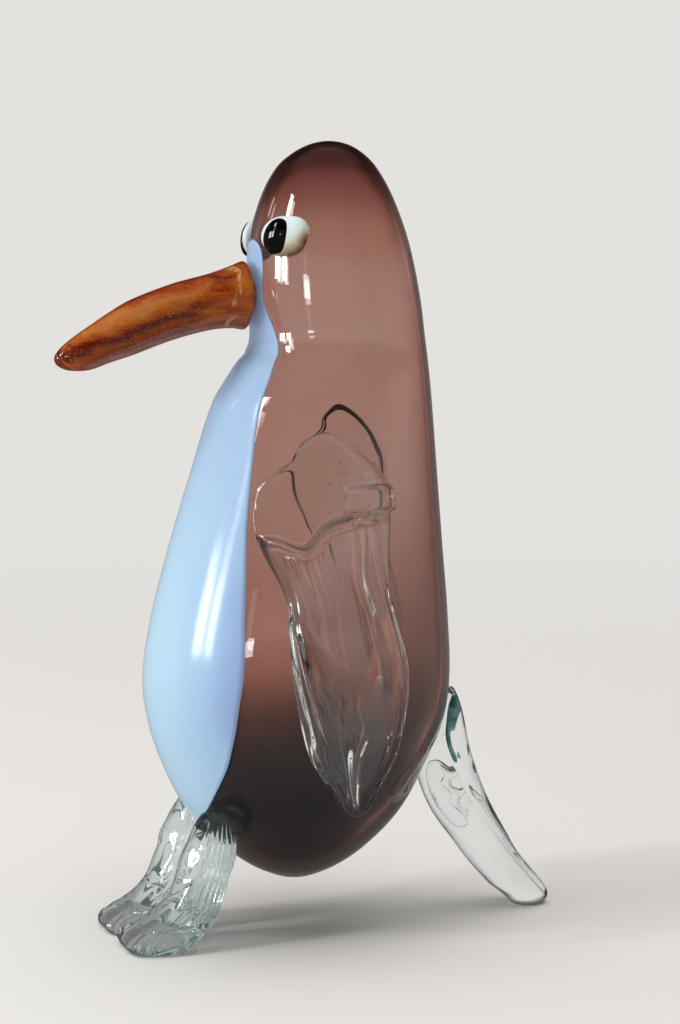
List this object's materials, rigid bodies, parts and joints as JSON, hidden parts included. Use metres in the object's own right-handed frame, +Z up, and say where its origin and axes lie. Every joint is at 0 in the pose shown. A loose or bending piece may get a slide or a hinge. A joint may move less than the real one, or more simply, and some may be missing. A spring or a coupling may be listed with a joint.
{
  "type": "glass penguin figurine",
  "caption": "Standing hollow blown-glass penguin with a long curved beak, hanging wings, two pressed feet and a tail that props it from behind.",
  "frame": {"origin": "under the middle of the whole figure's box, on the plane it stands on", "axes": "+Z up, -Y the way the penguin looks, +X the penguin's left side"},
  "size_m": [0.1182, 0.1918, 0.2896],
  "materials": {
    "plum_glass": "fire polished",
    "opal_glass": "fire polished",
    "amber_glass": "fire polished",
    "copper_glass": "sparkling copper specks",
    "white_glass": "fire polished",
    "black_glass": "fire polished",
    "clear_glass": "fire polished",
    "teal_glass": "fire polished"
  },
  "bodies": {
    "root": {"body_bubble": "plum_glass", "belly_opal": "opal_glass", "beak_casing": "amber_glass", "beak_core": "copper_glass", "eye_white_left": "white_glass", "eye_white_right": "white_glass", "pupil_left": "black_glass", "pupil_right": "black_glass", "wing_left": "clear_glass", "wing_right": "clear_glass", "foot_left": "clear_glass", "foot_right": "clear_glass", "tail": "clear_glass", "tail_streak": "teal_glass"}
  },
  "joints": []
}
